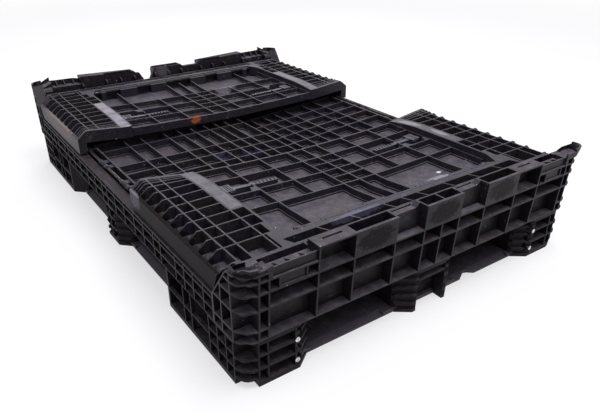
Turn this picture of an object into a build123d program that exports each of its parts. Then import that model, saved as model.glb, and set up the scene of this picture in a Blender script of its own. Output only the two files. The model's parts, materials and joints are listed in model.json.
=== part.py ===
from build123d import *
import os

# Collapsible bulk container, stored folded flat: a pallet base on nine feet, two side
# walls folded in one over the other, and two end walls with drop doors folded over them.
# Origin: middle of the footprint, on the floor. +X across, +Y along the length, +Z up.
# All sizes are in millimetres.

# ---- driving dimensions -------------------------------------------------------------
WIDTH = 1219.0            # X, over the side rails
LENGTH = 1778.0           # Y, over the end rails
CORNER_R = 48.0           # plan radius of the base's corners
FOOT_TOP = 138.0
DECK_TOP = 154.0
SIDE_RIM = 220.0          # top of the side rails
END_RIM = 338.0           # top of the end rails
EAR_RISE = 8.0            # stacking lug above each corner
ERECT_TOP = 836.0         # top of every wall when it stands
RIB = 4.5                 # moulded rib and shelf thickness

END_RAIL_DEPTH = 77.0     # Y, end rail with the trough behind its rim
RAIL_LEAN = 11.0          # an end rail's face leans out by this much over its height
SIDE_RAIL_DEPTH = 33.5    # X, side rail
RETURN_START = 753.0      # |Y| where an end rail's return begins on the long side
RETURN_LEAN = 0.73        # run over rise of the return's sloping end
RETURN_INNER = 572.0      # |X| of a return's inner face

END_AXIS_Y = 792.0        # hinge line of an end wall
END_AXIS_Z = 292.0
END_TOP_H = 12.0          # wall's outer face above its hinge line when folded
END_THICK = 42.0
END_HEEL = 14.0           # how far the wall reaches back past its hinge line
END_HALF_WIDTH = 605.0    # over the side flanges
END_ROOT_HALF = 566.0     # between the end rail's returns
FLANGE_INNER = 577.5
FLANGE_LOW = 224.0

SIDE_AXIS_X = 568.0       # hinge line of a side wall
SIDE_AXIS_Z = 230.0
SIDE_TOP_H = 6.0
SIDE_THICK = 34.0
SIDE_HALF_LENGTH = 750.0
SIDE_TILT = {"left": -0.3, "right": -4.3}  # degrees up at the free edge, folded

DOOR_HALF_WIDTH = 402.0
DOOR_AXIS_R = 54.0        # door's hinge rod, from the wall's hinge line
DOOR_AXIS_H = 3.0
DOOR_LOW_H, DOOR_TOP_H = -38.0, -8.0       # the door lies deeper than the wall's face
LATCH_TRAVEL = 14.0

ROD_R = 5.0
SEAT_CLEAR = 0.02         # rod in the lugs that hold it
RUN_CLEAR = 0.08          # rod in the knuckles that turn on it
SIDE_GAP = 1.5            # beside a lug or a knuckle
BARREL_R = 8.0            # knuckle round a rod
SKIN = 6.0                # floor left under a panel's pockets

HALF_W, HALF_L = WIDTH / 2, LENGTH / 2
END_REACH = ERECT_TOP - END_AXIS_Z        # hinge line to free edge
SIDE_REACH = ERECT_TOP - SIDE_AXIS_Z
END_INNER = HALF_L - END_RAIL_DEPTH       # |Y| of an end rail's inner face
SIDE_INNER = HALF_W - SIDE_RAIL_DEPTH
CORNER_X, CORNER_Y = HALF_W - CORNER_R, HALF_L - CORNER_R
TOP_H, LOW_H = END_TOP_H, END_TOP_H - END_THICK


# ---- helpers ------------------------------------------------------------------------
def block(x, y, z):
    """A box from three (low, high) pairs, in either order."""
    lows = [min(pair) for pair in (x, y, z)]
    sizes = [abs(pair[1] - pair[0]) for pair in (x, y, z)]
    return Pos(*lows) * Box(*sizes, align=(Align.MIN, Align.MIN, Align.MIN))


def prism(points, low, high):
    """An upright prism on a plan polygon."""
    face = make_face(Polyline(*points, close=True))
    return extrude(Pos(0, 0, low) * face, high - low)


def cross_prism(points, half):
    """A prism on a (Y, Z) polygon, running half each way along X."""
    face = make_face(Polyline(*points, close=True))
    return extrude(Plane.YZ * face, half, both=True)


def rod(length, radius, at, along="X"):
    """A cylinder centred on a point, lying along X or Y."""
    turn = Rot(0, 90, 0) if along == "X" else Rot(90, 0, 0)
    return Pos(*at) * turn * Cylinder(radius, length)


def both_sides(spans):
    """Each (low, high) span and its mirror image."""
    return [s for low, high in spans for s in ((low, high), (-high, -low))]


def mirrored(stops):
    """Stops on both sides of zero, in order."""
    return [-s for s in reversed(stops)] + list(stops)


def cells(first, second):
    """Clear spans of a grid of ribs: (a0, a1, b0, b1) between rib centres."""
    out = []
    for a0, a1 in zip(first, first[1:]):
        for b0, b1 in zip(second, second[1:]):
            out.append((a0 + RIB / 2, a1 - RIB / 2, b0 + RIB / 2, b1 - RIB / 2))
    return out


def turned(shape):
    """The same part at the other end or side of the container."""
    return Rot(0, 0, 180) * shape


def save(shape, node):
    export_step(shape, "parts/" + node + ".step")


os.makedirs("parts", exist_ok=True)


# ---- rounded corners, shared by rails and feet --------------------------------------
def corner_pockets(rows):
    """Quarter-round pockets at the near right corner, between (low, high) heights."""
    cuts = []
    for low, high in rows:
        points = [(CORNER_X + RIB / 2, -CORNER_Y - RIB / 2), (CORNER_X + RIB / 2, -HALF_L - 1),
                  (HALF_W + 1, -HALF_L - 1), (HALF_W + 1, -CORNER_Y - RIB / 2)]
        cuts.append(prism(points, low, high))
    return cuts


def in_both_corners(cuts):
    """The near right corner's cuts, and their mirror images at the near left."""
    return cuts + [mirror(c, about=Plane.YZ) for c in cuts]


# ---- end rail -----------------------------------------------------------------------
RAIL_ROWS = (FOOT_TOP, 224.0, 268.0, END_RIM)
RAIL_RIBS = (65.0, 167.0, 297.0, 403.0, 536.0)
COLUMN_ROWS = (FOOT_TOP, 168.0, 224.0, 268.0, 300.0, END_RIM)
RETURN_RIBS = (RETURN_START, 795.0, CORNER_Y)
FRONT_POCKET = 42.0       # depth of the front pockets
NOTCH_POCKET = 28.0
BACK_WALL = 46.5          # depth of the wall behind the front pockets
TROUGH_TOP = 320.0        # top of the trough's webs
TROUGH_FLOOR = 190.0
INNER_WALL_TOP = 284.0
PLATE = 8.0               # smooth front plate, at the rim
LIP_TOP, LIP_BACK = 325.0, 8.0            # low, set back lip over the label block
LIP_TRAY = 312.0          # floor of the tray behind the lip
BOWL_FLOOR = 324.0        # sunk top of each corner
TROUGH_WEBS = (0.0, 65.0, 167.0, 232.0, 297.0, 403.0, 536.0)
END_LUGS = (-520.0, -350.0, -140.0, 140.0, 350.0, 520.0)
LUG_WIDTH = 22.0
LUG_R = 8.0


def return_slope(inset):
    """(Y, Z) of everything above a return's sloping end."""
    start = -RETURN_START - inset
    return [(start, 100), (start, 222), (start - RETURN_LEAN * 124, 346)]


def end_rail_body():
    """Leaning band round the near end, with an ear and a sunk top at each corner."""
    low = Pos(0, 0, FOOT_TOP) * RectangleRounded(WIDTH, LENGTH - 2 * RAIL_LEAN, CORNER_R)
    high = Pos(0, 0, END_RIM) * RectangleRounded(WIDTH, LENGTH, CORNER_R)
    heights = (FOOT_TOP, END_RIM)
    band = block((-HALF_W, HALF_W), (-HALF_L, -END_INNER), heights)
    for side in (-1, 1):
        band += block((side * RETURN_INNER, side * HALF_W), (-HALF_L, -RETURN_START), heights)
    body = loft([low, high], ruled=True) & band
    body -= cross_prism(return_slope(0) + [(-600, 346), (-600, 100)], WIDTH)
    inset = RectangleRounded(WIDTH - 12, LENGTH - 12, CORNER_R - 6)
    inside = extrude(Pos(0, 0, BOWL_FLOOR) * inset, 30)
    for side in (-1, 1):
        spot = Pos(side * CORNER_X, -CORNER_Y, END_RIM + EAR_RISE / 2)
        ear = spot * (Cylinder(CORNER_R, EAR_RISE) - Cylinder(CORNER_R - 6, EAR_RISE))
        quarter = block((side * CORNER_X, side * HALF_W), (-HALF_L, -CORNER_Y),
                        (END_RIM, END_RIM + EAR_RISE))
        body += ear & quarter
        body -= inside & block((side * 527, side * HALF_W), (-HALF_L, -CORNER_Y + 3),
                               (BOWL_FLOOR, 350))
    return body


def rail_front_cuts():
    front = -HALF_L
    deep = (front - 1, front + FRONT_POCKET)
    cuts = []
    for x0, x1, z0, z1 in cells((0.0,) + RAIL_RIBS, RAIL_ROWS[:3]):
        cuts += [block(x, deep, (z0, z1)) for x in both_sides([(x0, x1)])]
    floor, ceiling = RAIL_ROWS[2] + RIB / 2, END_RIM - RIB
    # smooth plates with an open-topped pocket behind
    for x in both_sides([(RIB / 2, 65 - RIB / 2), (167 + RIB / 2, 297 - RIB / 2)]):
        cuts.append(block(x, (front + PLATE, front + FRONT_POCKET), (floor, END_RIM + 1)))
    # notches in the rim, with a dipped back
    for x in both_sides([(65 + RIB / 2, 167 - RIB / 2)]):
        cuts.append(block(x, (front - 1, front + NOTCH_POCKET), (floor, END_RIM + 1)))
        dip = [(x[0], 340), (x[0] + 14, 327), (x[1] - 14, 327), (x[1], 340)]
        face = Plane.XZ * make_face(Polyline(*dip, close=True))
        cuts.append(Pos(0, front + BACK_WALL + 1, 0) * extrude(face, 22))
    # closed pocket under a slotted top plate
    for x in both_sides([(297 + RIB / 2, 403 - RIB / 2)]):
        cuts.append(block(x, deep, (floor, ceiling)))
        slot = (x[0] + 22, x[1] - 22)
        cuts.append(block(slot, (front + 24, front + 31), (ceiling - 1, END_RIM + 1)))
    # label block: a sunk plate between two small pockets, under a low lip
    for x in both_sides([(403 + RIB / 2, 434)]) + both_sides([(511, 536 - RIB / 2)]):
        cuts.append(block(x, (front - 1, front + 30), (floor, 298)))
    for x in both_sides([(438, 507)]):
        cuts.append(block(x, (front - 1, front + 7), (274, 298)))
    for x in both_sides([(403 + RIB / 2, 527)]):
        cuts.append(block(x, (front - 1, front + LIP_BACK), (302, 350)))
        cuts.append(block(x, (front - 1, front + BACK_WALL + 1), (LIP_TOP, 350)))
        tray = (front + LIP_BACK + RIB, front + BACK_WALL + 1)
        cuts.append(block(x, tray, (LIP_TRAY, 350)))
    for z0, z1 in zip(COLUMN_ROWS, COLUMN_ROWS[1:]):
        high = min(z1 - RIB / 2, BOWL_FLOOR - RIB)
        for x in both_sides([(536 + RIB / 2, CORNER_X - RIB / 2)]):
            cuts.append(block(x, (front - 1, front + FRONT_POCKET), (z0 + RIB / 2, high)))
    return cuts


def rail_return_cuts():
    keep = cross_prism(return_slope(RIB) + [(-HALF_L, 346), (-HALF_L, 100)], WIDTH)
    cuts = []
    for y0, y1, z0, z1 in cells([-y for y in reversed(RETURN_RIBS)], COLUMN_ROWS):
        high = min(z1, BOWL_FLOOR - RIB)
        for side in (-1, 1):
            depth = (side * (HALF_W - 28), side * (HALF_W + 1))
            cuts.append(block(depth, (y0, y1), (z0, high)) & keep)
    rows = [(z0 + RIB / 2, min(z1 - RIB / 2, BOWL_FLOOR - RIB))
            for z0, z1 in zip(COLUMN_ROWS, COLUMN_ROWS[1:])]
    return cuts + in_both_corners(corner_pockets(rows))


def rail_trough_cuts():
    """The trough between the rim and the wall's hinge, crossed by low webs."""
    wall = -HALF_L + BACK_WALL
    cuts = [block((-END_ROOT_HALF, END_ROOT_HALF), (wall, -END_INNER + 1), (TROUGH_TOP, 350)),
            block((-END_ROOT_HALF, END_ROOT_HALF), (-END_INNER - RIB - 1, -END_INNER + 1),
                  (INNER_WALL_TOP, 350))]
    for low, high in zip(TROUGH_WEBS, TROUGH_WEBS[1:]):
        for x in both_sides([(low + RIB / 2, high - RIB / 2)]):
            cuts.append(block(x, (wall, -END_INNER - RIB), (TROUGH_FLOOR, 350)))
    return cuts


def end_lugs():
    """Lugs for the wall's rod, standing on arms that pass below the wall's heel."""
    lugs = []
    for x in END_LUGS:
        span = (x - LUG_WIDTH / 2, x + LUG_WIDTH / 2)
        arm = block(span, (-END_INNER - RIB, -END_AXIS_Y + LUG_R), (END_AXIS_Z - 30, END_AXIS_Z - 20))
        neck = block(span, (-END_AXIS_Y - LUG_R, -END_AXIS_Y + LUG_R), (END_AXIS_Z - 30, END_AXIS_Z))
        lugs.append(arm + neck + rod(LUG_WIDTH, LUG_R, (x, -END_AXIS_Y, END_AXIS_Z)))
    return lugs


def lip_gussets():
    """Small triangular ribs in the tray, holding up the lip."""
    lip = -HALF_L + LIP_BACK + RIB - 1
    side = [(lip, LIP_TRAY - 1), (lip, LIP_TOP - 1), (lip + 3, LIP_TOP - 1), (lip + 32, LIP_TRAY),
            (lip + 32, LIP_TRAY - 1)]
    return [Pos(way * x, 0, 0) * cross_prism(side, 2.0) for x in (433, 472, 504) for way in (-1, 1)]


def end_rail():
    rail = end_rail_body() - (rail_front_cuts() + rail_return_cuts() + rail_trough_cuts())
    rail = rail + lip_gussets() + end_lugs()
    return rail - rod(WIDTH, ROD_R + SEAT_CLEAR, (0, -END_AXIS_Y, END_AXIS_Z))


near_rail = end_rail()
save(near_rail, "end_rail_near")
# the far rail is worn through in the notch left of its middle
worn = [(-152, 350), (-112, 284), (-90, 284), (-56, 350)]
worn_face = Plane.XZ * make_face(Polyline(*worn, close=True))
worn_notch = Pos(0, HALF_L + 1, 0) * extrude(worn_face, BACK_WALL + 3)
save(turned(near_rail) - worn_notch, "end_rail_far")
near_end_rod = rod(2 * 535, ROD_R, (0, -END_AXIS_Y, END_AXIS_Z))
save(near_end_rod, "end_hinge_rod_near")
save(turned(near_end_rod), "end_hinge_rod_far")


# ---- side rail ----------------------------------------------------------------------
SIDE_RAIL_RIBS = (24.0, 97.0, 178.0, 260.0, 332.0, 405.0, 451.0, 546.0, 598.0, 650.0, 705.0)
SIDE_RAIL_ROWS = (FOOT_TOP, 170.0, 202.0, SIDE_RIM)
SIDE_LUGS = (-690.0, -500.0, -300.0, -100.0, 100.0, 300.0, 500.0, 690.0)
SIDE_POCKET = 27.0


def side_rail():
    """The right-hand rail; the left one is the same part turned round."""
    rail = block((SIDE_INNER, HALF_W), (-RETURN_START, RETURN_START), (FOOT_TOP, SIDE_RIM))
    ends = RETURN_START - RIB / 2
    ribs = [-ends] + mirrored(SIDE_RAIL_RIBS) + [ends]
    cuts = []
    for y0, y1, z0, z1 in cells(ribs, SIDE_RAIL_ROWS):
        high = min(z1, SIDE_RIM - RIB)
        cuts.append(block((HALF_W - SIDE_POCKET, HALF_W + 1), (y0, y1), (z0, high)))
    rail -= cuts
    lugs = []
    for y in SIDE_LUGS:
        span = (y - LUG_WIDTH / 2, y + LUG_WIDTH / 2)
        web = block((SIDE_AXIS_X - LUG_R, SIDE_INNER + 1), span, (DECK_TOP, SIDE_RIM - 12))
        neck = block((SIDE_AXIS_X - LUG_R, SIDE_AXIS_X + LUG_R), span, (DECK_TOP, SIDE_AXIS_Z))
        nose = rod(LUG_WIDTH, LUG_R, (SIDE_AXIS_X, y, SIDE_AXIS_Z), "Y")
        lugs.append(web + neck + nose)
    rail = rail + lugs
    bore = rod(LENGTH, ROD_R + SEAT_CLEAR, (SIDE_AXIS_X, 0, SIDE_AXIS_Z), "Y")
    return rail - bore


right_rail = side_rail()
save(right_rail, "side_rail_right")
save(turned(right_rail), "side_rail_left")
right_side_rod = rod(2 * 705, ROD_R, (SIDE_AXIS_X, 0, SIDE_AXIS_Z), "Y")
save(right_side_rod, "side_hinge_rod_right")
save(turned(right_side_rod), "side_hinge_rod_left")


# ---- deck ---------------------------------------------------------------------------
def deck():
    slab = block((-SIDE_INNER, SIDE_INNER), (-END_INNER, END_INNER), (FOOT_TOP, DECK_TOP))
    slab -= [block((side * RETURN_INNER, side * 580), (way * RETURN_START, way * END_INNER),
                   (FOOT_TOP, DECK_TOP)) for side in (-1, 1) for way in (-1, 1)]
    columns = [-RETURN_INNER + i * RETURN_INNER / 6 for i in range(13)]
    rows = [-END_INNER + i * END_INNER / 8 for i in range(17)]
    return slab - [block((x0, x1), (y0, y1), (FOOT_TOP - 1, DECK_TOP - 8))
                   for x0, x1, y0, y1 in cells(columns, rows)]


save(deck(), "deck")


# ---- feet and runner boards ---------------------------------------------------------
FOOT_EDGE_X, FOOT_EDGE_Y = 604.5, 873.0   # feet stand a little inside the rails' faces
FOOT_CORNER_Y = 830.0                     # centre of a corner foot's round corner
FOOT_X = {"left": (-FOOT_EDGE_X, -404.0), "middle": (-106.0, 106.0), "right": (404.0, FOOT_EDGE_X)}
FOOT_Y = {"near": (-FOOT_EDGE_Y, -412.0), "middle": (-82.0, 82.0), "far": (412.0, FOOT_EDGE_Y)}
END_CUT = (42.0, 31.0)                    # X and Y legs of the chamfers at the ends
SIDE_CUT = (33.0, 34.0)                   # and on the long sides
RIB_RECESS = 9.0
FOOT_RIBS = (27.0, 54.0, 81.0, 108.0)
CHAMFER_RIB = 8.0
FOOT_ROWS = (11.0, 50.0, 89.0, 125.0)     # a solid band runs round above the last one
FOOT_POCKET = 44.0
OPEN_STOPS = (466.0, 563.0, 608.0, 708.0)  # |Y| of a corner foot's open frame
OPEN_ROWS = (11.0, 67.0, 136.0)
FRAME_DEPTH = 10.0
RUNNER_TOP, RUNNER_SKIN = 12.0, 5.0
RUNNER_END = (701.0, 841.0)               # |Y| of a board under the end feet
RUNNER_SIDE = (441.0, 571.0)              # |X| of a board under the side feet
RUNNER_REACH = {"end": 430.0, "side": 436.0}
RAMP = 22.0                               # sloping edge where a fork rides over


def foot_plan(across, along, recess):
    """Plan of a foot, its corners beside a fork window cut back."""
    (x0, x1), (y0, y1) = FOOT_X[across], FOOT_Y[along]
    area = Pos((x0 + x1) / 2, (y0 + y1) / 2) * Rectangle(x1 - x0, y1 - y0)
    for x in (x0, x1):
        for y in (y0, y1):
            at_side, at_end = abs(x) == FOOT_EDGE_X, abs(y) == FOOT_EDGE_Y
            if at_side == at_end:
                continue
            across_cut, along_cut = END_CUT if at_end else SIDE_CUT
            # a corner foot has no ribs on its chamfer on the long side
            deep = 1.4 * (recess if at_end or along == "middle" else RIB_RECESS)
            inward_x = (across_cut + deep) * (1 if x == x0 else -1)
            inward_y = (along_cut + deep) * (1 if y == y0 else -1)
            triangle = [(x, y), (x + inward_x, y), (x, y + inward_y)]
            area -= make_face(Polyline(*triangle, close=True))
    if across != "middle" and along != "middle":
        outer = [v for v in area.vertices()
                 if abs(v.X) > FOOT_EDGE_X - 1 and abs(v.Y) > FOOT_EDGE_Y - 1]
        area = fillet(outer, CORNER_R - 5)
    return area


def foot_cavity(across, along):
    """Hollow inside a foot, open to the deck above."""
    (x0, x1), (y0, y1) = FOOT_X[across], FOOT_Y[along]
    x = (x0 + (60 if x0 == -FOOT_EDGE_X else 7), x1 - (60 if x1 == FOOT_EDGE_X else 7))
    y = (y0 + (60 if y0 == -FOOT_EDGE_Y else 7), y1 - (60 if y1 == FOOT_EDGE_Y else 7))
    return block(x, y, (RUNNER_TOP + 7, FOOT_TOP + 1))


def foot_spans(stops):
    """Clear spans between ribs at the given stops."""
    return [(a + RIB / 2, b - RIB / 2) for a, b in zip(stops, stops[1:])]


def end_face_pockets(across, way):
    """Pockets in the face a foot shows at the near (-1) or far (+1) end."""
    face = (way * (FOOT_EDGE_Y - FOOT_POCKET), way * (FOOT_EDGE_Y + 1))
    if across == "middle":
        lip = (way * (FOOT_EDGE_Y - 16), way * (FOOT_EDGE_Y + 1))
        return [block((-52, 52), face, (-1, 98)), block((-52, 52), lip, (104, 123))]
    side = -1 if across == "left" else 1
    spans = [(438, 450 - RIB / 2)] + foot_spans((458, 536, CORNER_X))
    return [block([side * v for v in span], face, row)
            for span in spans for row in foot_spans(FOOT_ROWS)]


def side_face_pockets(across, along):
    """Pockets in the face a foot shows on a long side."""
    side = -1 if across == "left" else 1
    face = (side * (FOOT_EDGE_X - 42), side * (FOOT_EDGE_X + 1))
    if along == "middle":
        return [block(face, span, row)
                for row in foot_spans(FOOT_ROWS) for span in foot_spans((-42, 0, 42))]
    way = -1 if along == "near" else 1

    def cut(x, y, z):
        return block(x, [way * v for v in y], z)

    shelved = foot_spans((OPEN_STOPS[-1], 752, 795, FOOT_CORNER_Y))
    cuts = [cut(face, span, row) for row in foot_spans(FOOT_ROWS) for span in shelved]
    # towards the middle a thin frame stands in front of the foot's hollow
    cuts += [cut(face, span, row)
             for row in foot_spans(OPEN_ROWS) for span in foot_spans(OPEN_STOPS)]
    behind = (side * (FOOT_EDGE_X - 62), side * (FOOT_EDGE_X - FRAME_DEPTH))
    along_y = (OPEN_STOPS[0] + RIB / 2, OPEN_STOPS[-1] - RIB)
    return cuts + [cut(behind, along_y, (RUNNER_TOP + 7, OPEN_ROWS[-1] - RIB / 2))]


def foot_corner_pockets(across, along):
    """Trays round a foot's corner; the lowest is left off, so it stands on two toes."""
    side = -1 if across == "left" else 1
    way = -1 if along == "near" else 1
    x = (side * (CORNER_X + RIB / 2), side * (HALF_W + 1))
    y = (way * (FOOT_CORNER_Y + RIB / 2), way * (HALF_L + 1))
    return [block(x, y, row) for row in ((-1, 21), (26, 48), (53, 82), (87, 133.5))]


def runner_box(way, low=0.0, high=RUNNER_TOP, grow=0.0):
    """Room taken by the runner board at one end."""
    y = (way * (RUNNER_END[0] - grow), way * (RUNNER_END[1] + grow))
    return block((-RUNNER_REACH["end"], RUNNER_REACH["end"]), y, (low, high))


def side_runner_box(side, low=0.0, high=RUNNER_TOP):
    """Room taken by the runner board on one long side."""
    x = (side * RUNNER_SIDE[0], side * RUNNER_SIDE[1])
    return block(x, (-RUNNER_REACH["side"], RUNNER_REACH["side"]), (low, high))


RUNNER_ROOM = [runner_box(way, low=-1) for way in (-1, 1)]
RUNNER_ROOM += [side_runner_box(side, low=-1) for side in (-1, 1)]


def foot(across, along):
    core = extrude(foot_plan(across, along, RIB_RECESS), FOOT_TOP)
    full = foot_plan(across, along, 0)
    layers = [extrude(full, 8)]
    if (across, along) != ("middle", "middle"):
        layers += [extrude(Pos(0, 0, z - CHAMFER_RIB / 2) * full, CHAMFER_RIB) for z in FOOT_RIBS]
        layers.append(extrude(Pos(0, 0, FOOT_ROWS[-1] + RIB / 2) * full, 9))
    cuts = [foot_cavity(across, along)] + RUNNER_ROOM
    if along != "middle":
        cuts += end_face_pockets(across, -1 if along == "near" else 1)
    if across != "middle":
        cuts += side_face_pockets(across, along)
    if across != "middle" and along != "middle":
        cuts += foot_corner_pockets(across, along)
    return (core + layers) - cuts


RIVET_R = 4.0
RIVET_X = 454.0
rivets = []
for across in FOOT_X:
    for along in FOOT_Y:
        one = foot(across, along)
        if across != "middle" and along != "middle":
            # two rivets in the solid post beside the fork window
            side, way = (-1 if across == "left" else 1), (-1 if along == "near" else 1)
            for z in (30.0, 92.0):
                hole = Pos(side * RIVET_X, way * FOOT_EDGE_Y, z) * Rot(90, 0, 0)
                one -= hole * Cylinder(RIVET_R, 24)
                shank = Pos(side * RIVET_X, way * (FOOT_EDGE_Y - 6), z) * Rot(90, 0, 0)
                head = Pos(side * RIVET_X, way * (FOOT_EDGE_Y + 1), z) * Rot(90, 0, 0)
                rivets.append(shank * Cylinder(RIVET_R, 12) + head * Cylinder(7, 2))
        centre = across == "middle" and along == "middle"
        save(one, "foot_centre" if centre else "foot_" + along + "_" + across)
save(Compound(children=rivets), "foot_rivets")


def end_runner():
    """Board joining the three near feet, with a ramp in each fork window."""
    board = runner_box(-1)
    outer = -RUNNER_END[1]
    wedge = cross_prism([(outer - 1, 2.6), (outer + RAMP, RUNNER_TOP), (outer + RAMP, RUNNER_TOP + 1),
                         (outer - 1, RUNNER_TOP + 1)], (390 - 144) / 2)
    board -= [Pos(side * (390 + 144) / 2, 0, 0) * wedge for side in (-1, 1)]
    inner = (-RUNNER_END[1] + RAMP + 4, -RUNNER_END[0] - 8)
    for x in both_sides([(150, 208), (213, 266), (271, 324), (329, 384)]):
        board -= block(x, inner, (-1, RUNNER_TOP - RUNNER_SKIN))
    return board


def side_runner():
    """Board joining the three feet of the right long side."""
    board = side_runner_box(1)
    outer = RUNNER_SIDE[1]
    slope = [(outer + 1, 2.6), (outer - RAMP, RUNNER_TOP), (outer - RAMP, RUNNER_TOP + 1),
             (outer + 1, RUNNER_TOP + 1)]
    wedge = extrude(Plane.XZ * make_face(Polyline(*slope, close=True)), 144, both=True)
    board -= [Pos(0, way * 254, 0) * wedge for way in (-1, 1)]
    for y in both_sides([(124, 188), (193, 253), (258, 318), (323, 384)]):
        board -= block((RUNNER_SIDE[0] + 8, outer - RAMP - 4), y, (-1, RUNNER_TOP - RUNNER_SKIN))
    return board


near_runner, right_runner = end_runner(), side_runner()
# the near board has a piece broken out of its edge in the right window
chip = prism([(164, -843), (203, -822), (214, -826), (235, -843)], -1, RUNNER_TOP + 1)
save(near_runner - chip, "runner_near")
save(turned(near_runner), "runner_far")
save(right_runner, "runner_right")
save(turned(right_runner), "runner_left")


# ---- end wall -----------------------------------------------------------------------
# Built folded at the near end. r runs from the hinge line towards the free edge, and h
# stands above the hinge line; the outer face is the top one.
SLANT = ((2.0, TOP_H), (13.0, -8.0), (40.0, FLANGE_LOW - END_AXIS_Z))   # (r, h) of the
# slanted end that keeps the wide part and its flanges clear of the rail's returns
PAD = (411.0, 444.0)                      # hollow under the smooth pad beside the door
PAD_LENGTH = 320.0                        # measured from the free edge
WALL_RIBS = (449.0, 520.0, 556.0, 600.0)
WALL_CROSS = (12.0, 25.0, 41.0, 64.0, 106.0, 160.0, 211.0, 262.0, 315.0, 367.0, 419.0, 471.0)
SLOPE_START, SLOPE_DROP = 572.0, 27.0     # the outer edge slopes down past the ribs
DOOR_GAP = 2.0
WALL_KNUCKLES = [(-58.0, 58.0)] + both_sides([(137.0, 198.0), (277.0, 338.0)])
DOOR_KNUCKLES = both_sides([(60.0, 135.0), (200.0, 275.0), (340.0, 360.0)])
BRACES = (-424.0, -319.0, -214.0, -101.0, -36.0, 22.0, 127.0, 232.0, 337.0, 424.0)
BRACE_R = (-6.0, 28.0)
BRACE_LEAN = 16.0                         # each brace leans across the strip by this much


def wall_y(r):
    return -END_AXIS_Y + r


def wall_z(h):
    return END_AXIS_Z + h


def wall_block(x, r, h):
    return block(x, [wall_y(v) for v in r], [wall_z(v) for v in h])


def slanted(inset, low):
    """Everything on the free-edge side of the slanted end, above a height h."""
    far = END_REACH - inset
    ends = [(r + inset, h) for r, h in SLANT if h > low]
    foot_r = SLANT[1][0] + (SLANT[2][0] - SLANT[1][0]) * (SLANT[1][1] - low) / (SLANT[1][1]
                                                                            - SLANT[2][1])
    outline = [(far, TOP_H)] + ends + [(foot_r + inset, low), (far, low)]
    return cross_prism([(wall_y(r), wall_z(h)) for r, h in outline], WIDTH)


def brace_pockets():
    """Pockets between the leaning braces, from the wall's hinge edge to the door."""
    low, high = BRACE_R
    cuts = []
    for x0, x1 in zip(BRACES, BRACES[1:]):
        a, b = x0 + RIB / 2, x1 - RIB / 2
        corners = [(a, high), (b, high), (b + BRACE_LEAN, low), (a + BRACE_LEAN, low)]
        points = [(x, wall_y(r)) for x, r in corners]
        cuts.append(prism(points, wall_z(LOW_H + SKIN), wall_z(TOP_H + 1)))
    return cuts


def end_wall_body():
    full = (-END_HALF_WIDTH, END_HALF_WIDTH)
    wide = wall_block(full, (-20, END_REACH), (LOW_H, TOP_H)) & slanted(0, LOW_H)
    root = wall_block((-END_ROOT_HALF, END_ROOT_HALF), (-END_HEEL, 80), (LOW_H, TOP_H))
    body = wide + root
    low = FLANGE_LOW - END_AXIS_Z
    for side in (-1, 1):
        x = (side * FLANGE_INNER, side * END_HALF_WIDTH)
        body += wall_block(x, (-20, END_REACH), (low, TOP_H)) & slanted(0, low)
    slopes = []
    for side in (-1, 1):
        slope = [(side * SLOPE_START, wall_z(TOP_H + 0.1)),
                 (side * 606, wall_z(TOP_H - SLOPE_DROP)), (side * 606, wall_z(TOP_H + 0.1))]
        face = Plane.XZ * make_face(Polyline(*slope, close=True))
        slopes.append(Pos(0, wall_y(END_REACH + 1), 0) * extrude(face, END_REACH + 20))
    return body - slopes


def doorway():
    """The door's opening, with cut lower corners."""
    gap, low = DOOR_HALF_WIDTH + DOOR_GAP, DOOR_AXIS_R - 9
    corners = [(-gap, low + 56), (-gap + 26, low), (gap - 26, low), (gap, low + 56),
               (gap, END_REACH + 1), (-gap, END_REACH + 1)]
    return prism([(x, wall_y(r)) for x, r in corners], wall_z(LOW_H - 1), wall_z(TOP_H + 1))


def wall_pockets():
    stops = [-4.0] + [END_REACH - d for d in reversed(WALL_CROSS)]
    keep = slanted(5, LOW_H + SKIN + 2) + wall_block((-550, 550), (-8, 90), (LOW_H, TOP_H))
    depth = (LOW_H + SKIN + 2, TOP_H)
    cuts = []
    for x0, x1, r0, r1 in cells(WALL_RIBS, stops):
        cuts += [wall_block(x, (r0, r1), depth) & keep for x in both_sides([(x0, x1)])]
    # beside the doorway, from the pad's end down to the hinge edge
    pad_stops = [r for r in stops if r < END_REACH - PAD_LENGTH + 12]
    for r0, r1 in zip(pad_stops, pad_stops[1:]):
        inner = 440.0 if r0 < 0 else (424.0 if r0 < 90 else 411.0)
        for x in both_sides([(inner, WALL_RIBS[0] - RIB / 2)]):
            cuts.append(wall_block(x, (r0 + RIB / 2, r1 - RIB / 2), (depth[0], TOP_H + 1)))
    # the pad is hollow underneath
    under = (END_REACH - PAD_LENGTH + 20, END_REACH - 10)
    cuts += [wall_block(x, under, (LOW_H - 1, TOP_H - 6)) for x in both_sides([PAD])]
    return cuts


def lug_notches():
    """Room under the wall's top skin for the end rail's lugs."""
    gap = LUG_WIDTH / 2 + SIDE_GAP
    return [wall_block((x - gap, x + gap), (-30, 11), (-50, TOP_H - 3)) for x in END_LUGS]


def knuckles(spans, reach, low, high):
    """Barrels round the door's rod with webs out to a given r."""
    out = []
    for x0, x1 in spans:
        at = ((x0 + x1) / 2, wall_y(DOOR_AXIS_R), wall_z(DOOR_AXIS_H))
        web = wall_block((x0, x1), (DOOR_AXIS_R, reach), (low, high))
        out.append(rod(x1 - x0, BARREL_R, at) + web)
    return out


DOOR_ROD_AT = (0, wall_y(DOOR_AXIS_R), wall_z(DOOR_AXIS_H))
NOSE_D, NOSE_H = (142.0, 158.0), (-27.0, -16.0)   # the latch nose's section
NOSE_ROOM = 1.5


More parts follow.
